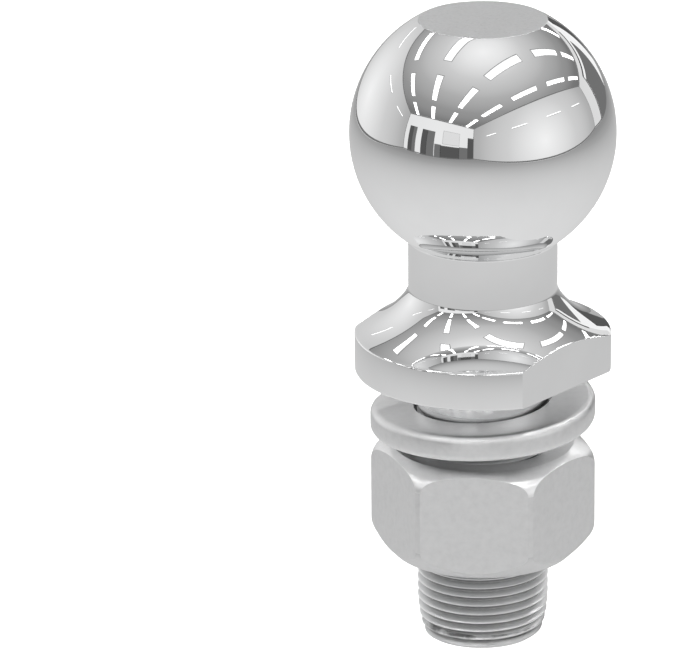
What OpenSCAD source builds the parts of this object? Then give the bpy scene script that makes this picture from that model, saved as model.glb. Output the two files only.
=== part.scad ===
// Threaded tow ball with its spring lock washer and hex nut
// The seat under the flange is the plane z = 0, and the ball is above it on +Z

/* [Ball] */

// Diameter of the ball (mm)
ball_d = 50.8; // [46:0.1:60]
// Height of the ball's centre over the flange's seat (mm)
ball_rise = 47.4; // [42:0.1:60]
// Diameter of the flat on top of the ball (mm)
top_flat_d = 24.4; // [10:0.2:32]

/* [Neck and flange] */

// Diameter of the round neck under the ball (mm)
neck_d = 28.6; // [24:0.1:32]
// Height at which the neck starts to flare into the cove (mm)
cove_top = 15.9; // [13:0.1:20]
// Radius of the cove between neck and flange (mm)
cove_r = 18.4; // [14:0.1:30]
// Diameter of the flange (mm)
flange_d = 49.3; // [46:0.1:60]
// Height of the flange's upright rim (mm)
rim_h = 7.5; // [5:0.1:10]
// Width of the narrow bevels along the rim (mm)
rim_bevel = 0.4; // [0.1:0.1:1.5]
// Width across the two wrench flats (mm)
flats_across = 41.3; // [35:0.1:45]

/* [Shank] */

// Outer diameter of the threaded shank (mm)
shank_d = 25.4; // [19:0.1:26]
// Length of the shank below the flange's seat (mm)
shank_length = 54; // [50:0.1:80]
// Length of the plain collar between the flange's seat and the thread (mm)
collar = 7; // [4:0.1:12]
// Travel of the nut in one turn on the thread (mm)
thread_pitch = 1.814; // [1.2:0.001:3.2]
// Depth of the thread, as a share of its pitch
thread_depth_share = 0.61; // [0.4:0.01:0.65]
// Distance by which the shank's rounded end is drawn in, on each side (mm)
end_draw = 1.4; // [0.5:0.1:3]
// Length of the shank's rounded end (mm)
end_length = 8; // [4:0.1:12]

/* [Lock washer] */

// Gap between the flange's seat and the washer's high end (mm)
washer_gap = 4.6; // [3:0.1:12]
// Room between the shank and the washer's bore, on each side (mm)
washer_room = 0.6; // [0.2:0.05:1.5]
// Width of the washer's wire, across the ring (mm)
wire_w = 8.4; // [5:0.1:9]
// Thickness of the washer's wire (mm)
wire_t = 5.2; // [3:0.1:6]
// Rise of the coil from its low end to its high end (mm)
coil_rise = 5.1; // [2:0.1:6]
// Width of the cut between the washer's two ends (mm)
cut_w = 2.5; // [1:0.1:6]
// Direction of the cut, counted from +X towards +Y (degrees)
cut_angle = 79.2; // [0:0.1:360]
// Radius of the washer's outer edges (mm)
wire_round = 1.3; // [0.4:0.1:1.4]
// Radius of the washer's inner edges (mm)
wire_break = 0.4; // [0.1:0.05:0.6]

/* [Nut] */

// Wall of the nut from the shank to each of its flats (mm)
nut_wall = 6.35; // [5:0.05:10]
// Distance by which the nut's rounded corners stand out past its flats (mm)
corner_out = 2.65; // [1:0.05:3]
// Height of the nut (mm)
nut_h = 21.8; // [14:0.1:25]
// Share of the width across flats that is left flat on each face
face_share = 0.926; // [0.88:0.002:0.96]
// Slope of the chamfer round the nut's upper face (degrees)
upper_slope = 38; // [15:1:45]
// Slope of the chamfer round the nut's lower face (degrees)
lower_slope = 45; // [15:1:45]
// Depth of the chamfer at each mouth of the nut's bore (mm)
mouth_bevel = 1.1; // [0.3:0.1:1.5]
// Direction of one corner of the nut, counted from +X towards +Y (degrees)
nut_angle = 34.2; // [0:0.1:60]

/* [Hidden] */

// Colours of the bright plating and of the duller zinc
bright_tone = [0.86, 0.87, 0.88];
zinc_tone = [0.72, 0.73, 0.74];

// Smoothness of round forms in a preview
$fn = 96;
// Overlap that keeps cuts clean
slip = 1;

// Ball and neck
ball_r = ball_d / 2;
top_flat_r = top_flat_d / 2;
ball_top = ball_rise + sqrt(ball_r * ball_r - top_flat_r * top_flat_r);
neck_r = neck_d / 2;

// Flange, whose cove is an arc from the neck to the inside of the rim's bevel
flange_r = flange_d / 2;
cove_foot_r = flange_r - rim_bevel;
cove_run = cove_foot_r - neck_r;
cove_drop = cove_top - rim_h;
cove_chord = sqrt(cove_run * cove_run + cove_drop * cove_drop);
cove_reach = sqrt(cove_r * cove_r - cove_chord * cove_chord / 4);
cove_centre_r = (neck_r + cove_foot_r) / 2 + cove_reach * cove_drop / cove_chord;
cove_centre_z = (cove_top + rim_h) / 2 + cove_reach * cove_run / cove_chord;

// Shank, whose end is an arc that starts along the shank's side
shank_r = shank_d / 2;
end_arc_r = (end_length * end_length + end_draw * end_draw) / (2 * end_draw);

// Thread, drawn as one ring groove for each turn, with flat crests and roots
thread_turns = floor((shank_length - collar) / thread_pitch);
thread_root_r = shank_r - thread_pitch * thread_depth_share;
crest_flat = thread_pitch / 8;
root_flat = thread_pitch / 4;
flank = (thread_pitch - crest_flat - root_flat) / 2;
groove_points = [
    for (i = [0 : thread_turns - 1])
        for (p = [
            [shank_r, 0],
            [thread_root_r, flank],
            [thread_root_r, flank + root_flat],
            [shank_r, thread_pitch - crest_flat]
        ])
            [p.x, -(collar + i * thread_pitch + p.y)]
];

// Washer, which stands on the nut and climbs counter-clockwise seen from the ball
coil_inner_r = shank_r + washer_room;
coil_outer_r = coil_inner_r + wire_w;
coil_mean_r = (coil_inner_r + coil_outer_r) / 2;
cut_span = cut_w / coil_mean_r * 180 / PI;
coil_turn = 360 - cut_span;
coil_start = cut_angle + cut_span / 2;
coil_low = -(washer_gap + wire_t + coil_rise);
coil_steps = 72;
round_steps = 4;
break_steps = 1;

// Nut, a hair below the washer's low end and free on the shank
nut_seat_gap = 0.02;
nut_top = coil_low - nut_seat_gap;
nut_bottom = nut_top - nut_h;
nut_half = shank_r + nut_wall;
nut_corner_r = nut_half + corner_out;
nut_face_r = nut_half * face_share;
nut_chamfer = nut_corner_r - nut_face_r;
thread_room = 0.05;
nut_bore_r = shank_r + thread_room;
nut_mouth_r = nut_bore_r + mouth_bevel;
nut_sides = 6;

// Ball, neck, flange and shank in one piece
module tow_ball() {
    color(bright_tone)
        union() {
            topped_ball();
            cylinder(r = neck_r, h = ball_rise);
            flange();
            shank();
        }
}

// Ball with its flat top
module topped_ball() {
    difference() {
        translate([0, 0, ball_rise])
            sphere(r = ball_r);
        translate([0, 0, ball_top])
            cylinder(r = ball_r, h = ball_r);
    }
}

// Flange with its cove, narrow bevels and two wrench flats
module flange() {
    difference() {
        rotate_extrude()
            polygon([
                [0, 0],
                [flange_r - rim_bevel, 0],
                [flange_r, rim_bevel],
                [flange_r, rim_h - rim_bevel],
                [cove_foot_r, rim_h],
                [cove_foot_r, cove_top],
                [0, cove_top]
            ]);
        rotate_extrude()
            translate([cove_centre_r, cove_centre_z])
                circle(r = cove_r);
        for (side = [-1, 1])
            translate([side * (flats_across + flange_d) / 2, 0, cove_top / 2])
                cube([flange_d, flange_d + slip, cove_top + 2 * slip], center = true);
    }
}

// Shank with its thread's grooves and its rounded end
module shank() {
    intersection() {
        rotate_extrude()
            polygon(concat(
                [[0, 0], [shank_r, 0]],
                groove_points,
                [[shank_r, -shank_length], [0, -shank_length]]
            ));
        union() {
            translate([0, 0, end_length - shank_length])
                cylinder(r = shank_r, h = shank_length - end_length);
            translate([0, 0, end_length - shank_length])
                rotate_extrude()
                    intersection() {
                        translate([shank_r - end_arc_r, 0])
                            circle(r = end_arc_r);
                        translate([0, -end_length])
                            square([shank_r, end_length]);
                    }
        }
    }
}

// Points of one rounded corner of the wire's section
function corner_points(x, y, r, from, steps) = [
    for (k = [0 : steps])
        [x + r * cos(from + 90 * k / steps), y + r * sin(from + 90 * k / steps)]
];

wire_section = concat(
    corner_points(coil_outer_r - wire_round, wire_t - wire_round, wire_round, 0, round_steps),
    corner_points(coil_inner_r + wire_break, wire_t - wire_break, wire_break, 90, break_steps),
    corner_points(coil_inner_r + wire_break, wire_break, wire_break, 180, break_steps),
    corner_points(coil_outer_r - wire_round, wire_round, wire_round, 270, round_steps)
);
wire_count = len(wire_section);

coil_points = [
    for (i = [0 : coil_steps])
        for (p = wire_section)
            [
                p.x * cos(coil_start + coil_turn * i / coil_steps),
                p.x * sin(coil_start + coil_turn * i / coil_steps),
                p.y + coil_low + coil_rise * i / coil_steps
            ]
];

coil_sides = [
    for (i = [0 : coil_steps - 1])
        for (j = [0 : wire_count - 1])
            for (half = [0, 1])
                let (
                    k = (j + 1) % wire_count,
                    here = i * wire_count,
                    there = (i + 1) * wire_count
                )
                half == 0 ? [here + j, here + k, there + k] : [here + j, there + k, there + j]
];

coil_ends = [
    [for (j = [1 : wire_count]) wire_count - j],
    [for (j = [0 : wire_count - 1]) coil_steps * wire_count + j]
];

// Split ring of rectangular wire, coiled so that its ends stand apart
module lock_washer() {
    color(zinc_tone)
        polyhedron(points = coil_points, faces = concat(coil_sides, coil_ends));
}

// Hexagonal nut, chamfered round both faces, with a plain bore for its thread
module hex_nut() {
    color(zinc_tone)
        difference() {
            intersection() {
                translate([0, 0, nut_bottom])
                    rotate([0, 0, nut_angle])
                        cylinder(r = nut_half / cos(180 / nut_sides), h = nut_h, $fn = nut_sides);
                rotate_extrude()
                    polygon([
                        [0, nut_bottom],
                        [nut_face_r, nut_bottom],
                        [nut_corner_r, nut_bottom + nut_chamfer * tan(lower_slope)],
                        [nut_corner_r, nut_top - nut_chamfer * tan(upper_slope)],
                        [nut_face_r, nut_top],
                        [0, nut_top]
                    ]);
            }
            translate([0, 0, nut_bottom - slip])
                cylinder(r = nut_bore_r, h = nut_h + 2 * slip);
            translate([0, 0, nut_top - mouth_bevel])
                cylinder(r1 = nut_bore_r, r2 = nut_mouth_r + slip, h = mouth_bevel + slip);
            translate([0, 0, nut_bottom - slip])
                cylinder(r1 = nut_mouth_r + slip, r2 = nut_bore_r, h = mouth_bevel + slip);
        }
}

tow_ball();
lock_washer();
hex_nut();
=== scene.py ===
import math
import bmesh
import bpy
from mathutils import Matrix, Vector


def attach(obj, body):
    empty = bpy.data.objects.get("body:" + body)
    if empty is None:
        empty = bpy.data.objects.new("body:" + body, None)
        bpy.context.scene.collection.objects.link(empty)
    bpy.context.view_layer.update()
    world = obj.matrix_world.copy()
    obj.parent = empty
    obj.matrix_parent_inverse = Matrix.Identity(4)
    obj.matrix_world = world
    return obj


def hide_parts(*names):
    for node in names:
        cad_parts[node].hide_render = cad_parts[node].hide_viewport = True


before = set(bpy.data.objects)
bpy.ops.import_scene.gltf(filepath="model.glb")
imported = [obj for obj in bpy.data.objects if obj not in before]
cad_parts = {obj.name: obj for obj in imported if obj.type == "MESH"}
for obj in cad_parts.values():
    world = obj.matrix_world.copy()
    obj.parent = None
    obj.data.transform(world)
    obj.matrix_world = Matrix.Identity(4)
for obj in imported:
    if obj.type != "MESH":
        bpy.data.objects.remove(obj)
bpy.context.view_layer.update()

# Ball, neck and flange.
# The upper part of one steel forging, turned to a mirror finish and plated. The ball's top is faced flat, a
# hollow cove runs from the round neck to the flange, and two flats on the flange hold the wrench.

# Sizes are in millimetres, and heights are counted from the flange's underside.
ball_r, ball_z, top_flat_r, top_round = 25.4, 47.4, 12.2, 0.4
neck_r, neck_fillet, neck_last = 14.3, 0.6, 0.15
cove_r, cove_top, cove_foot_r, cove_foot_z = 18.4, 15.9, 24.25, 7.5
root_r, root_slope = 9.0, math.radians(18)
flange_r, rim_round, flat_x, flat_break = 24.65, 0.4, 20.65, 0.22
shank_r, shank_fillet, plain_to = 12.7, 0.8, -6.0
turning_steps = 256
near = 0.01
cool = 0.003


def line(pen, tip, x, z):
    """Draws a straight stretch of a turned profile from tip to (x, z)."""
    new = bmesh.ops.extrude_vert_indiv(pen, verts=[tip])["verts"][0]
    new.co = (x, 0, z)
    return new


def arc(pen, tip, x, z, to_x, to_z, steps):
    """Draws an arc of a turned profile round (x, z), from tip until it points at (to_x, to_z)."""
    here = math.atan2(tip.co.x - x, tip.co.z - z)
    there = math.atan2(to_x - x, to_z - z)
    turn = (there - here + math.pi) % (2 * math.pi) - math.pi
    spun = bmesh.ops.spin(pen, geom=[tip], cent=(x, 0, z), axis=(0, 1, 0), angle=turn, steps=steps)
    return next(v for v in spun["geom_last"] if isinstance(v, bmesh.types.BMVert))


def lathe(pen, steps):
    """Turns the drawn profile once round the shank's axis."""
    bmesh.ops.spin(pen, geom=pen.verts[:] + pen.edges[:], cent=(0, 0, 0), axis=(0, 0, 1),
                   angle=2 * math.pi, steps=steps, use_merge=True)
    bmesh.ops.remove_doubles(pen, verts=pen.verts, dist=0.0005)


def soften(work, angle, width, rings, test=lambda middle: True):
    """Rounds the edges that turn by more than an angle in degrees and whose middles pass the test."""
    sharp = [e for e in work.edges if len(e.link_faces) == 2 and e.calc_face_angle() > math.radians(angle)
             and test((e.verts[0].co + e.verts[1].co) / 2)]
    bmesh.ops.bevel(work, geom=sharp, offset=width, segments=rings, profile=0.5, affect="EDGES",
                    material=-1, clamp_overlap=True)


def shader(name, rough):
    """Starts a metal finish and returns its material, node tree, links and surface shader."""
    made = bpy.data.materials.new(name)
    made.use_nodes = True
    nodes, links = made.node_tree.nodes, made.node_tree.links
    surface = nodes["Principled BSDF"]
    surface.inputs["Metallic"].default_value = 1
    surface.inputs["Roughness"].default_value = rough
    return made, nodes, links, surface


def grain(nodes, links, scale, detail, stretch=(1, 1, 1)):
    """Adds a fine noise fixed to the piece and returns its values."""
    place = nodes.new("ShaderNodeTexCoord")
    sized = nodes.new("ShaderNodeMapping")
    sized.inputs["Scale"].default_value = stretch
    noise = nodes.new("ShaderNodeTexNoise")
    noise.inputs["Scale"].default_value = scale
    noise.inputs["Detail"].default_value = detail
    links.new(place.outputs["Object"], sized.inputs["Vector"])
    links.new(sized.outputs["Vector"], noise.inputs["Vector"])
    return noise.outputs["Fac"]


def spread(nodes, links, source, low, high, to_low, to_high):
    """Maps a pattern's range onto a range of values."""
    node = nodes.new("ShaderNodeMapRange")
    for name, value in (("From Min", low), ("From Max", high), ("To Min", to_low), ("To Max", to_high)):
        node.inputs[name].default_value = value
    links.new(source, node.inputs["Value"])
    return node.outputs["Result"]


def tones(nodes, links, source, stops):
    """Colours a pattern by a ramp of tones."""
    ramp = nodes.new("ShaderNodeValToRGB")
    ramp.color_ramp.elements[0].position, ramp.color_ramp.elements[0].color = stops[0]
    ramp.color_ramp.elements[1].position, ramp.color_ramp.elements[1].color = stops[-1]
    for position, colour in stops[1:-1]:
        ramp.color_ramp.elements.new(position).color = colour
    links.new(source, ramp.inputs["Fac"])
    return ramp.outputs["Color"]


def grey(level, tint=0.0):
    """Gives a grey of a level, a little cooler where it has a tint."""
    return (level, level + tint, level + 2 * tint, 1)


def relief(nodes, links, surface, source, height, strength):
    """Raises a pattern off the surface by a height in metres."""
    bump = nodes.new("ShaderNodeBump")
    bump.inputs["Distance"].default_value = height
    bump.inputs["Strength"].default_value = strength
    links.new(source, bump.inputs["Height"])
    links.new(bump.outputs["Normal"], surface.inputs["Normal"])


# The profile's arcs run into each other, so their centres and ends follow from the sizes.
top_z = ball_z + math.sqrt(ball_r ** 2 - top_flat_r ** 2)
round_x = top_flat_r - top_round * math.tan(math.asin(top_flat_r / ball_r) / 2)
fillet_x = neck_r + neck_fillet
fillet_z = ball_z - math.sqrt((ball_r + neck_fillet) ** 2 - fillet_x ** 2)
run, drop = cove_foot_r - neck_r, cove_top - cove_foot_z
chord = math.hypot(run, drop)
reach = math.sqrt(cove_r ** 2 - chord ** 2 / 4)
cove_x = (neck_r + cove_foot_r) / 2 + reach * drop / chord
cove_z = (cove_top + cove_foot_z) / 2 + reach * run / chord
root_x = neck_r + root_r * math.cos(root_slope)
root_z = cove_z - math.sqrt((cove_r - root_r) ** 2 - (cove_x - root_x) ** 2)
neck_end = root_z - root_r * math.sin(root_slope)
rim_x = flange_r - rim_round
rim_z = cove_z - math.sqrt((cove_r + rim_round) ** 2 - (cove_x - rim_x) ** 2)

# From the top flat down to the shank. A short last stretch of the neck keeps its shading straight.
ball = bmesh.new()
tip = ball.verts.new((0, 0, top_z))
tip = line(ball, tip, round_x, top_z)
tip = arc(ball, tip, round_x, top_z - top_round, round_x + top_flat_r, 2 * top_z - top_round - ball_z, 4)
tip = arc(ball, tip, 0, ball_z, fillet_x, fillet_z, 64)
tip = arc(ball, tip, fillet_x, fillet_z, fillet_x - 1, fillet_z, 4)
tip = line(ball, tip, neck_r, neck_end + neck_last)
tip = line(ball, tip, neck_r, neck_end)
tip = arc(ball, tip, root_x, root_z, 2 * root_x - cove_x, 2 * root_z - cove_z, 8)
tip = arc(ball, tip, cove_x, cove_z, rim_x, rim_z, 20)
tip = arc(ball, tip, rim_x, rim_z, rim_x + 1, rim_z, 5)
tip = line(ball, tip, flange_r, rim_round)
tip = arc(ball, tip, rim_x, rim_round, rim_x, rim_round - 1, 4)
tip = line(ball, tip, shank_r + shank_fillet, 0)
tip = arc(ball, tip, shank_r + shank_fillet, -shank_fillet, shank_r, -shank_fillet, 4)
tip = line(ball, tip, shank_r, plain_to)
lathe(ball, turning_steps)

# The wrench flats are cut in the flange only, and their edges are broken.
foot_z = -shank_fillet - near
for side in (-1, 1):
    faces = [f for f in ball.faces if any(foot_z < v.co.z < cove_top for v in f.verts)]
    edges = list(dict.fromkeys(e for f in faces for e in f.edges))
    verts = list(dict.fromkeys(v for f in faces for v in f.verts))
    cut = bmesh.ops.bisect_plane(ball, geom=verts + edges + faces, plane_co=(side * flat_x, 0, 0),
                                 plane_no=(side, 0, 0), clear_outer=True)
    bmesh.ops.edgeloop_fill(ball, edges=[e for e in cut["geom_cut"] if isinstance(e, bmesh.types.BMEdge)])
soften(ball, 12, flat_break, 2, lambda middle: abs(abs(middle.x) - flat_x) < near)

bright_plate, nodes, links, surface = shader("bright_plate", 0.02)
haze = grain(nodes, links, scale=90, detail=3)
links.new(tones(nodes, links, haze, [(0.3, grey(0.87, cool)), (0.7, grey(0.9, cool))]),
          surface.inputs["Base Color"])
links.new(spread(nodes, links, haze, low=0.4, high=0.75, to_low=0.012, to_high=0.035),
          surface.inputs["Roughness"])

faced_top, nodes, links, surface = shader("faced_top", 0.35)
pits = grain(nodes, links, scale=1800, detail=3)
links.new(tones(nodes, links, pits, [(0.25, grey(0.55)), (0.36, grey(0.63, cool)), (0.7, grey(0.66, cool))]),
          surface.inputs["Base Color"])
links.new(spread(nodes, links, pits, low=0.3, high=0.7, to_low=0.38, to_high=0.33),
          surface.inputs["Roughness"])
place = nodes.new("ShaderNodeTexCoord")
facing = nodes.new("ShaderNodeTexWave")
facing.wave_type, facing.rings_direction = "RINGS", "Z"
facing.inputs["Scale"].default_value = 900
facing.inputs["Distortion"].default_value = 0.6
links.new(place.outputs["Object"], facing.inputs["Vector"])
relief(nodes, links, surface, facing.outputs["Fac"], height=0.00002, strength=0.12)

# Threaded shank.
# The forging's lower end, with a right-hand thread of 14 turns to the inch cut into it. It runs out under
# the flange, its end is rounded so that a nut starts easily, and a little grime sits in the last groove.

MM = 0.001
pitch, thread_depth, shank_end = 25.4 / 14, 1.113, -54.0
end_draw, end_length, end_loss, end_break = 1.4, 8.0, 0.45, 0.3
thread_top, run_out_from, run_out_to = -7.0, -9.0, -7.2
thread_steps, thread_turns, lead_turns = 128, 29, 1.7
thread_start = shank_end - lead_turns * pitch
tone_evening, soil_share = 0.65, 0.16
smear_z, smear_reach = -51.9, 0.7
faced_edge = 0.06
large_face, level_face, hard_edge = 20, 0.9999, math.radians(38)


def thread_sheet(pen, outer, start, turns):
    """Sweeps one pitch of a right-hand thread up one turn, stacks the turns and joins them."""
    # Each point of the form is a share of the pitch and a depth under the crest.
    form = [(0, 0.05), (0.03, 0), (0.095, 0), (0.125, 0.05), (0.28, 0.56), (0.4375, 1.05),
            (0.5, thread_depth), (0.625, thread_depth), (0.6875, 1.05), (0.845, 0.56), (1, 0.05)]
    tip = pen.verts.new((outer - form[0][1], 0, start))
    for along, down in form[1:]:
        tip = line(pen, tip, outer - down, start + along * pitch)
    bmesh.ops.spin(pen, geom=pen.verts[:] + pen.edges[:], cent=(0, 0, 0), axis=(0, 0, 1),
                   dvec=(0, 0, pitch / thread_steps), angle=2 * math.pi, steps=thread_steps)
    turn = pen.verts[:] + pen.edges[:] + pen.faces[:]
    for step in range(1, turns):
        copy = bmesh.ops.duplicate(pen, geom=turn)["geom"]
        bmesh.ops.translate(pen, verts=[v for v in copy if isinstance(v, bmesh.types.BMVert)],
                            vec=(0, 0, step * pitch))
    bmesh.ops.remove_doubles(pen, verts=pen.verts, dist=0.005)


def trim(pen, z, up):
    """Cuts a thread square at a height and clears what lies beyond."""
    bmesh.ops.bisect_plane(pen, geom=pen.verts[:] + pen.edges[:] + pen.faces[:], plane_co=(0, 0, z),
                           plane_no=(0, 0, up), clear_outer=True)


def set_radius(vert, radius):
    """Moves a point straight out or in to a radius."""
    now = math.hypot(vert.co.x, vert.co.y)
    vert.co.x *= radius / now
    vert.co.y *= radius / now


def open_loop(work, test=lambda middle: True):
    """Lists the open edges of a mesh whose middles pass the test."""
    return [e for e in work.edges if e.is_boundary and test((e.verts[0].co + e.verts[1].co) / 2)]


def add_thread(work, thread, name):
    """Moves a finished thread into the mesh of the piece that it is cut in."""
    mesh = bpy.data.meshes.new(name)
    thread.to_mesh(mesh)
    thread.free()
    work.from_mesh(mesh)
    bpy.data.meshes.remove(mesh)


def work_out(nodes, links, operation, *values):
    """Adds one sum on values that are numbers or come from other nodes."""
    node = nodes.new("ShaderNodeMath")
    node.operation = operation
    for socket, value in zip(node.inputs, values):
        if isinstance(value, (int, float)):
            socket.default_value = value
        else:
            links.new(value, socket)
    return node.outputs["Value"]


def finish_piece(work, name, body, node, materials):
    """Turns a bmesh drawn in millimetres into a piece on its body, with its large flat faces kept flat."""
    bmesh.ops.recalc_face_normals(work, faces=work.faces)
    for face in work.faces:
        face.smooth = face.calc_area() < large_face and abs(face.normal.z) < level_face
    bmesh.ops.scale(work, verts=work.verts, vec=(MM, MM, MM))
    for edge in work.edges:
        if len(edge.link_faces) == 2 and edge.calc_face_angle() > hard_edge:
            edge.smooth = False
    mesh = bpy.data.meshes.new(name)
    work.to_mesh(mesh)
    work.free()
    piece = bpy.data.objects.new(name, mesh)
    bpy.context.scene.collection.objects.link(piece)
    for material in materials:
        mesh.materials.append(material)
    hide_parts(node)
    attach(piece, body)
    return piece


# The thread fades into the plain shank above, and gets shallower where the end is drawn in along an arc.
shank = bmesh.new()
thread_sheet(shank, shank_r, thread_start, thread_turns)
trim(shank, thread_top, 1)
trim(shank, shank_end, -1)
end_arc = (end_length ** 2 + end_draw ** 2) / (2 * end_draw)
for vert in shank.verts:
    radius = math.hypot(vert.co.x, vert.co.y)
    fade = min(1, max(0, (vert.co.z - run_out_from) / (run_out_to - run_out_from)))
    radius += (shank_r - radius) * fade * fade * (3 - 2 * fade)
    below = shank_end + end_length - vert.co.z
    if below > 0:
        draw = end_arc - math.sqrt(end_arc ** 2 - below ** 2)
        radius = shank_r - draw - (shank_r - radius) * (1 - end_loss * draw / end_draw)
    set_radius(vert, radius)
bmesh.ops.edgeloop_fill(shank, edges=open_loop(shank, lambda middle: middle.z < shank_end + near))
soften(shank, 40, end_break, 3, lambda middle: middle.z < shank_end + near)
add_thread(ball, shank, "thread")
bmesh.ops.bridge_loops(ball, edges=open_loop(ball))

# The thread's tones go by the distance from the axis, so shade is painted into it: bright on the crests and
# darker down the flanks into the grooves. Part of what the end is drawn in by is added back to it, so that
# the end doesn't turn dark as well.
cut_thread, nodes, links, surface = shader("cut_thread", 0.22)
place = nodes.new("ShaderNodeTexCoord")
axes = nodes.new("ShaderNodeSeparateXYZ")
flattened = nodes.new("ShaderNodeVectorMath")
flattened.operation = "MULTIPLY"
flattened.inputs[1].default_value = (1, 1, 0)
from_axis = nodes.new("ShaderNodeVectorMath")
from_axis.operation = "LENGTH"
links.new(place.outputs["Object"], axes.inputs["Vector"])
links.new(place.outputs["Object"], flattened.inputs[0])
links.new(flattened.outputs["Vector"], from_axis.inputs[0])
under = work_out(nodes, links, "SUBTRACT", (shank_end + end_length) * MM, axes.outputs["Z"])
drawn = work_out(nodes, links, "MAXIMUM", under, 0)
squared = work_out(nodes, links, "MULTIPLY", drawn, drawn)
added = tone_evening / (2 * end_arc * MM)
evened = work_out(nodes, links, "MULTIPLY_ADD", squared, added, from_axis.outputs["Value"])
height = spread(nodes, links, evened, (shank_r - thread_depth) * MM, shank_r * MM, to_low=0, to_high=1)
soil = grain(nodes, links, scale=700, detail=3)
mixed = work_out(nodes, links, "MULTIPLY_ADD", soil, soil_share, height)
# Painted shade: the tones darken from the crests down into the grooves.
groove_shade_tones = tones(nodes, links, mixed,
              [(0.08, grey(0.32)), (0.2, grey(0.48, cool)), (0.5, grey(0.62, cool)),
               (0.85, grey(0.73, cool)), (0.97, grey(0.88, cool))])
last_turn = work_out(nodes, links, "COMPARE", axes.outputs["Z"], smear_z * MM, smear_reach * MM)
smear = grain(nodes, links, scale=260, detail=4, stretch=(1, 1, 2.5))
caught = spread(nodes, links, smear, low=0.44, high=0.62, to_low=0, to_high=0.75)
groove = spread(nodes, links, height, low=0.95, high=0.6, to_low=0, to_high=1)
dirt = work_out(nodes, links, "MULTIPLY", last_turn, caught)
held = work_out(nodes, links, "MULTIPLY", dirt, groove)
soiled = nodes.new("ShaderNodeMix")
soiled.data_type = "RGBA"
soiled.inputs["B"].default_value = grey(0.05)
links.new(held, soiled.inputs["Factor"])
links.new(groove_shade_tones, soiled.inputs["A"])
links.new(soiled.outputs["Result"], surface.inputs["Base Color"])
links.new(spread(nodes, links, mixed, low=0.1, high=1.1, to_low=0.4, to_high=0.31),
          surface.inputs["Roughness"])

# The bright plate covers all but the faced top, the faced end and the thread.
for face in ball.faces:
    middle = face.calc_center_median()
    if middle.z > top_z - faced_edge or middle.z < shank_end + near:
        face.material_index = 1
    elif middle.z < plain_to:
        face.material_index = 2
finish_piece(ball, "ball_and_shank", "ball", "tow_ball",
             [bright_plate, faced_top, cut_thread])

# Spring lock washer.
# A ring of rectangular steel wire, coiled and cut so that its ends stand apart. Its outer edges are rounded
# by the rolling of the wire, and it is zinc-plated. It lies loose on the nut.

washer_in, wire_w, wire_t, coil_rise = 13.3, 8.4, 5.2, 5.1
coil_low, cut_w, cut_angle = -14.9, 2.5, 79.2
wire_round, wire_break, cut_break = 1.5, 0.4, 0.2
coil_steps = 180
coil_r = washer_in + wire_w / 2
cut_span = cut_w / coil_r
coil_start = math.radians(cut_angle) + cut_span / 2

# The wire's cross-section is drawn flat, set upright beside the cut and wound once round the shank.
washer = bmesh.new()
bmesh.ops.create_grid(washer, x_segments=1, y_segments=1, size=0.5)
bmesh.ops.scale(washer, verts=washer.verts, vec=(wire_w, wire_t, 1))
bmesh.ops.translate(washer, verts=washer.verts, vec=(coil_r, wire_t / 2, 0))
outer = [v for v in washer.verts if v.co.x > coil_r]
inner = [v for v in washer.verts if v.co.x < coil_r]
for corners, size, steps in ((outer, wire_round, 5), (inner, wire_break, 2)):
    bmesh.ops.bevel(washer, geom=corners, offset=size, segments=steps, profile=0.5, affect="VERTICES",
                    material=-1)
bmesh.ops.delete(washer, geom=washer.faces[:], context="FACES_ONLY")
bmesh.ops.rotate(washer, verts=washer.verts, cent=(0, 0, 0), matrix=Matrix.Rotation(math.pi / 2, 3, "X"))
bmesh.ops.translate(washer, verts=washer.verts, vec=(0, 0, coil_low))
bmesh.ops.rotate(washer, verts=washer.verts, cent=(0, 0, 0), matrix=Matrix.Rotation(coil_start, 3, "Z"))
first = washer.edges[:]
coil = bmesh.ops.spin(washer, geom=washer.verts[:] + washer.edges[:], cent=(0, 0, 0), axis=(0, 0, 1),
                      dvec=(0, 0, coil_rise / coil_steps), angle=2 * math.pi - cut_span, steps=coil_steps)
last = [e for e in coil["geom_last"] if isinstance(e, bmesh.types.BMEdge)]
bmesh.ops.edgeloop_fill(washer, edges=first)
bmesh.ops.edgeloop_fill(washer, edges=last)
soften(washer, 60, cut_break, 2)


def zinc_finish(name, level, rough):
    """Makes a lightly clouded zinc plate of a brightness and a roughness."""
    clouding, tint = 0.035, 0.002
    made, nodes, links, surface = shader(name, rough)
    bloom = grain(nodes, links, scale=800, detail=5)
    stops = [(0.25, grey(level - 0.04, tint)), (0.5, grey(level, tint)), (0.75, grey(level + 0.03, tint))]
    links.new(tones(nodes, links, bloom, stops), surface.inputs["Base Color"])
    links.new(spread(nodes, links, bloom, 0.3, 0.7, rough - clouding, rough + clouding),
              surface.inputs["Roughness"])
    fine = grain(nodes, links, scale=2600, detail=3)
    relief(nodes, links, surface, fine, height=0.00002, strength=0.25)
    return made


zinc = zinc_finish("zinc", 0.79, 0.365)
washer_piece = finish_piece(washer, "spring_washer", "washer", "lock_washer", [zinc])

# Hex nut.
# Cold-formed from steel bar with rounded shoulders, chamfered on both faces in a lathe, tapped, and
# zinc-plated. It turns on the shank's thread and pushes the washer up against what the ball is bolted to.

nut_top, nut_h, nut_half, nut_corner_r, nut_face_r = -14.92, 21.8, 19.05, 21.7, 17.64
upper_slope, lower_slope, upper_round, lower_round = math.radians(30), math.radians(45), 3.5, 2.5
nut_angle, nut_break = 34.2, 0.4
mouth_r, mouth_in, thread_room, tapped_turns = 13.85, 0.35, 0.06, 17
nut_bottom, nut_middle = nut_top - nut_h, nut_top - nut_h / 2
nut_steps = 192
sloping = 0.02

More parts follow.
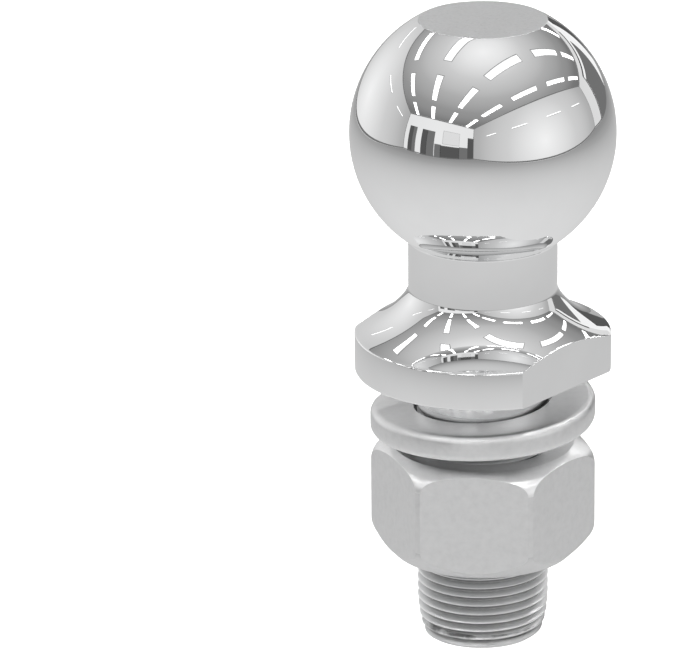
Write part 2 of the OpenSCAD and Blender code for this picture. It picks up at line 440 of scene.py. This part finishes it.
upper_z = (nut_top - (nut_corner_r - nut_face_r) * math.tan(upper_slope)
           - upper_round * math.tan(math.pi / 4 - upper_slope / 2))
lower_z = (nut_bottom + (nut_corner_r - nut_face_r) * math.tan(lower_slope)
           + lower_round * math.tan(math.pi / 4 - lower_slope / 2))
upper_x, lower_x = nut_corner_r - upper_round, nut_corner_r - lower_round
shoulder_x = upper_x + upper_round * math.sin(upper_slope)
shoulder_z = upper_z + upper_round * math.cos(upper_slope)

# A turned blank with the chamfers and shoulders comes first, and the six sides are then cut on it.
nut = bmesh.new()
tip = nut.verts.new((mouth_r - mouth_in, 0, nut_top - mouth_in))
tip = line(nut, tip, mouth_r, nut_top)
tip = line(nut, tip, nut_face_r, nut_top)
tip = line(nut, tip, shoulder_x, shoulder_z)
tip = arc(nut, tip, upper_x, upper_z, nut_corner_r, upper_z, 8)
tip = line(nut, tip, nut_corner_r, lower_z)
tip = arc(nut, tip, lower_x, lower_z, lower_x + math.sin(lower_slope), lower_z - math.cos(lower_slope), 6)
tip = line(nut, tip, nut_face_r, nut_bottom)
tip = line(nut, tip, mouth_r, nut_bottom)
tip = line(nut, tip, mouth_r - mouth_in, nut_bottom + mouth_in)
lathe(nut, nut_steps)
for side in range(6):
    turn = math.radians(nut_angle + 30 + 60 * side)
    square = Vector((math.cos(turn), math.sin(turn), 0))
    cut = bmesh.ops.bisect_plane(nut, geom=nut.verts[:] + nut.edges[:] + nut.faces[:],
                                 plane_co=square * nut_half, plane_no=square, clear_outer=True)
    bmesh.ops.edgeloop_fill(nut, edges=[e for e in cut["geom_cut"] if isinstance(e, bmesh.types.BMEdge)])
soften(nut, 15, nut_break, 3, lambda middle: math.hypot(middle.x, middle.y) > mouth_r + nut_break)

# The tapped thread is the shank's own form, whole turns away from it, so the two always run in each other.
tapping = bmesh.new()
turns_below = math.floor((nut_bottom - 2 * pitch - thread_start) / pitch)
thread_sheet(tapping, shank_r + thread_room, thread_start + turns_below * pitch, tapped_turns)
trim(tapping, nut_top - 2 * mouth_in, 1)
trim(tapping, nut_bottom + 2 * mouth_in, -1)
for vert in tapping.verts:
    into = min(nut_top - vert.co.z, vert.co.z - nut_bottom)
    set_radius(vert, max(math.hypot(vert.co.x, vert.co.y), mouth_r - into))
add_thread(nut, tapping, "tapping")
for above in (True, False):
    bmesh.ops.bridge_loops(nut, edges=open_loop(nut, lambda middle: (middle.z > nut_middle) == above))

# The turned faces above the middle get zinc painted lighter than the six sides, as painted light,
# and those below get it painted darker, as painted shade. The lighter zinc is smoother, the darker rougher.
for face in nut.faces:
    face.normal_update()
    middle = face.calc_center_median()
    if math.hypot(middle.x, middle.y) > mouth_r and abs(face.normal.z) > sloping:
        face.material_index = 1 if middle.z > nut_middle else 2
# Painted light and painted shade: a lighter and a darker copy of the zinc.
top_lit_zinc = zinc_finish("top_lit_zinc", 0.94, 0.32)
under_shaded_zinc = zinc_finish("under_shaded_zinc", 0.69, 0.42)
nut_piece = finish_piece(nut, "nut", "nut", "hex_nut", [zinc, top_lit_zinc, under_shaded_zinc])

# Studio.
# A pale floor in a plain room with rows of strip lights, doors and windows, as bright metal needs something
# to mirror. Its places are in room heights from the ball's centre, and to the camera all of it is white.

room_h = 1.9
ball_at = ball_z * MM
nut_travel, floor_gap = 39.5, 0.5
floor_z = (nut_bottom - nut_travel - floor_gap) * MM
low, high = -0.26, 1.0
left, right, back, far = -1.41, 1.39, -2.3, 2.55
just = 0.006
floor_lift = 0.45
# The last width is that of the dark strips painted as shade in the room's joins.
strip_half, lamp_half, shade_w, join_shade_w = 0.065, 0.007, 0.011, 0.035


def panel(name, x, y, z, material):
    """Sets up one flat panel of the room from its spans along the three axes, of which one is empty."""
    flat = bmesh.new()
    bmesh.ops.create_grid(flat, x_segments=1, y_segments=1, size=0.5)
    if x[0] == x[1]:
        bmesh.ops.rotate(flat, verts=flat.verts, cent=(0, 0, 0), matrix=Matrix.Rotation(math.pi / 2, 3, "Y"))
    if y[0] == y[1]:
        bmesh.ops.rotate(flat, verts=flat.verts, cent=(0, 0, 0), matrix=Matrix.Rotation(math.pi / 2, 3, "X"))
    size = [(end - start) * room_h or 1 for start, end in (x, y, z)]
    middle = [(end + start) / 2 * room_h for start, end in (x, y, z)]
    bmesh.ops.scale(flat, verts=flat.verts, vec=size)
    bmesh.ops.translate(flat, verts=flat.verts, vec=(middle[0], middle[1], middle[2] + ball_at))
    mesh = bpy.data.meshes.new(name)
    flat.to_mesh(mesh)
    flat.free()
    mesh.materials.append(material)
    made = bpy.data.objects.new(name, mesh)
    bpy.context.scene.collection.objects.link(made)
    return made


def glow(name, level, centre=(0, 0, 0), fade=()):
    """Makes a surface that looks white but is mirrored at a level, or in tones that fade from a centre."""
    made = bpy.data.materials.new(name)
    made.use_nodes = True
    nodes, links = made.node_tree.nodes, made.node_tree.links
    nodes.clear()
    end = nodes.new("ShaderNodeOutputMaterial")
    light = nodes.new("ShaderNodeEmission")
    plain = nodes.new("ShaderNodeEmission")
    seen = nodes.new("ShaderNodeLightPath")
    choose = nodes.new("ShaderNodeMixShader")
    light.inputs["Strength"].default_value = level
    if fade:
        # Left out of the sampling of lamps, because it is large and only mirrored.
        made.cycles.emission_sampling = "NONE"
        place = nodes.new("ShaderNodeTexCoord")
        away = nodes.new("ShaderNodeVectorMath")
        away.operation = "DISTANCE"
        away.inputs[1].default_value = [c * room_h + lift for c, lift in zip(centre, (0, 0, ball_at))]
        links.new(place.outputs["Object"], away.inputs[0])
        reach = fade[-1][0]
        share = spread(nodes, links, away.outputs["Value"], 0, reach * room_h, 0, 1)
        ramp = tones(nodes, links, share, [(distance / reach, grey(tone)) for distance, tone in fade])
        links.new(ramp, light.inputs["Color"])
    links.new(seen.outputs["Is Camera Ray"], choose.inputs["Fac"])
    links.new(light.outputs["Emission"], choose.inputs[1])
    links.new(plain.outputs["Emission"], choose.inputs[2])
    links.new(choose.outputs["Shader"], end.inputs["Surface"])
    return made


# The floor takes the shadow. It is lifted to white for the camera, and is clear from below.
floor_paint = bpy.data.materials.new("floor_paint")
floor_paint.use_nodes = True
nodes, links = floor_paint.node_tree.nodes, floor_paint.node_tree.links
nodes.clear()
end = nodes.new("ShaderNodeOutputMaterial")
matt = nodes.new("ShaderNodeBsdfDiffuse")
matt.inputs["Color"].default_value = grey(0.8)
lit = nodes.new("ShaderNodeEmission")
seen = nodes.new("ShaderNodeLightPath")
add = nodes.new("ShaderNodeAddShader")
clear = nodes.new("ShaderNodeBsdfTransparent")
side = nodes.new("ShaderNodeNewGeometry")
choose = nodes.new("ShaderNodeMixShader")
lifted = work_out(nodes, links, "MULTIPLY", seen.outputs["Is Camera Ray"], floor_lift)
links.new(lifted, lit.inputs["Strength"])
links.new(matt.outputs["BSDF"], add.inputs[0])
links.new(lit.outputs["Emission"], add.inputs[1])
links.new(side.outputs["Backfacing"], choose.inputs["Fac"])
links.new(add.outputs["Shader"], choose.inputs[1])
links.new(clear.outputs["BSDF"], choose.inputs[2])
links.new(choose.outputs["Shader"], end.inputs["Surface"])
floor_level = (floor_z - ball_at) / room_h
floor = panel("floor", (left, right), (back, far), (floor_level, floor_level), floor_paint)
floor.visible_glossy = False

# Metal mirrors a second floor, further down, and the ceiling and walls. Each fades from one bright place.
sunk_fade = ((0, 0.8), (0.21, 0.76), (0.37, 0.71), (0.57, 0.64), (0.84, 0.54), (1.03, 0.48), (1.3, 0.4),
             (1.9, 0.32), (3.4, 0.25))
ceiling_fade = ((0, 1.0), (0.22, 0.89), (0.51, 0.67), (0.8, 0.55), (0.96, 0.47), (1.28, 0.39), (1.5, 0.33),
                (1.8, 0.3), (2.3, 0.21), (3.2, 0.18))
wall_fade = ((0, 1.0), (0.45, 0.85), (0.9, 0.69), (1.45, 0.6), (2.0, 0.5), (3.2, 0.4))
sunk_paint = glow("sunk_paint", 1, (0, 0, low), sunk_fade)
ceiling_paint = glow("ceiling_paint", 1, (0, 0, high), ceiling_fade)
left_paint = glow("left_paint", 1, (left, 0, 0.1), wall_fade)
right_paint = glow("right_paint", 1, (right, 0.1, 0.1), wall_fade)
back_paint = glow("back_paint", 1, (0, back, 0.5), ((0, 0.92), (2, 0.86)))
far_paint = glow("far_paint", 1, (0, far, 0.5), ((0, 0.82), (2, 0.76)))
sunk_floor = panel("sunk_floor", (left, right), (back, far), (low, low), sunk_paint)
sunk_floor.visible_camera = False
panel("ceiling", (left, right), (back, far), (high, high), ceiling_paint)
panel("left_wall", (left, left), (back, far), (low, high), left_paint)
panel("right_wall", (right, right), (back, far), (low, high), right_paint)
panel("back_wall", (left, right), (back, back), (low, high), back_paint)
panel("far_wall", (left, right), (far, far), (low, high), far_paint)

# Four rows of ceiling strips, each of a housing, a diffuser and a tube, and small lamps on the side walls.
tube, diffuser, housing = glow("tube", 8), glow("diffuser", 1.2), glow("housing", 0.22)
strip_parts = (("housing", 0.01, 1, housing), ("diffuser", 0, 2, diffuser), ("tube", -0.024, 3, tube))
for row in (-1.0, -0.33, 0.35, 1.03):
    for start, end in ((-2.26, -1.53), (-1.28, -0.61), (-0.32, 0.31), (0.6, 1.31), (1.55, 2.38)):
        for name, edge, layer, material in strip_parts:
            panel(name, (row - strip_half - edge, row + strip_half + edge), (start - edge, end + edge),
                  (high - layer * just, high - layer * just), material)
wall_light = glow("wall_light", 2.5)
left_spans = ((-1.76, -1.22), (-0.74, -0.29), (0.27, 0.7))
right_spans = ((-1.52, -1.13), (-0.63, -0.23), (0.27, 0.69), (1.17, 1.65))
for wall, height, spans in ((left + just, 0.61, left_spans), (right - just, 0.53, right_spans)):
    for start, end in spans:
        edge = height - lamp_half
        panel("wall_lamp", (wall, wall), (start, end), (edge, height + lamp_half), wall_light)
        panel("lamp_shade", (wall, wall), (start, end), (edge - shade_w, edge), housing)

# Doors, cupboards and a picture on the wall behind the camera, and windows on the wall behind the ball.
dark, dim, black, faint = glow("dark", 0.1), glow("dim", 0.18), glow("black", 0.03), glow("faint", 0.5)
white, pale = glow("white", 1), glow("pale", 0.8)
for x, z, material in (((-1.2, -1.0), (low, 0.57), dark), ((-1.0, -0.85), (low, 0.57), dim),
                       ((-0.62, -0.4), (low, 0.56), dark), ((-0.4, -0.12), (low, 0.56), dim),
                       ((-0.1, 0.12), (low, 0.17), dim), ((0.12, 0.8), (low, 0.15), dark),
                       ((0.8, 1.13), (low, 0.17), dim), ((1.13, right), (low, 0.56), dark),
                       ((-0.41, -0.39), (low, 0.56), black), ((0.11, 0.13), (low, 0.17), black),
                       ((0.79, 0.81), (low, 0.17), black), ((0.17, 0.8), (0.2, 0.66), faint)):
    panel("cupboard", x, (back + just, back + just), z, material)
panel("picture", (0.185, 0.785), (back + 2 * just, back + 2 * just), (0.215, 0.645), pale)
for x, z, layer, material in (((left, 0.69), (low, 0.725), 1, white),
                              ((-0.65, 0.69), (0.725, 0.785), 1, black),
                              ((0.69, 0.74), (low, 0.785), 1, black),
                              ((-0.49, 0.675), (low, 0.62), 2, black),
                              ((-0.47, 0.655), (low, 0.6), 3, dim),
                              ((left, -0.98), (low, 0.53), 2, black),
                              ((left, -1.01), (low, 0.5), 3, dark)):
    panel("window", x, (far - layer * just, far - layer * just), z, material)

# Dark strips where the walls meet the ceiling, the floor and each other, as painted shade in the joins.
for z in ((high - join_shade_w, high - just), (low + just, low + join_shade_w)):
    for wall in (left + just, right - just):
        panel("join_shade", (wall, wall), (back, far), z, dim)
    for wall in (back + just, far - just):
        panel("join_shade", (left, right), (wall, wall), z, dim)
for wall in (left + just, right - just):
    for start in (back, far - join_shade_w):
        panel("corner", (wall, wall), (start, start + join_shade_w), (low, high), dim)

# Beyond the room all is white.
world = bpy.data.worlds.new("studio")
bpy.context.scene.world = world
world.use_nodes = True
world.node_tree.nodes["Background"].inputs["Color"].default_value = grey(1)


def soft_lamp(name, power, size, place):
    """Hangs a soft lamp at a place and aims it at the flange."""
    light = bpy.data.lights.new(name, "AREA")
    light.energy, light.size = power, size
    lamp = bpy.data.objects.new(name, light)
    bpy.context.scene.collection.objects.link(lamp)
    lamp.location = place
    lamp.rotation_euler = (-lamp.location).to_track_quat("-Z", "Y").to_euler()
    return lamp


# One lamp lights all. A weaker one lights only the dull pieces, so that the ball doesn't mirror it.
key = soft_lamp("key", 22, 1.2, (0.4, -0.9, 1.5))
key.visible_glossy = False
dull_pieces = bpy.data.collections.new("dull_pieces")
for piece in (washer_piece, nut_piece):
    dull_pieces.objects.link(piece)
fill = soft_lamp("fill", 0.36, 0.5, (0.45, -0.9, 0))
fill.light_linking.receiver_collection = dull_pieces

# The camera looks down a little on the ball from the front right, through a long lens.
camera = bpy.data.objects.new("camera", bpy.data.cameras.new("camera"))
bpy.context.scene.collection.objects.link(camera)
camera.data.sensor_width, camera.data.lens = 36, 323.95
camera.location = (0.6972, -0.8548, 0.4050)
camera.rotation_euler = [math.radians(a) for a in (70.229, 0.4553, 40.4658)]
bpy.context.scene.camera = camera
bpy.context.scene.view_settings.view_transform = "Standard"
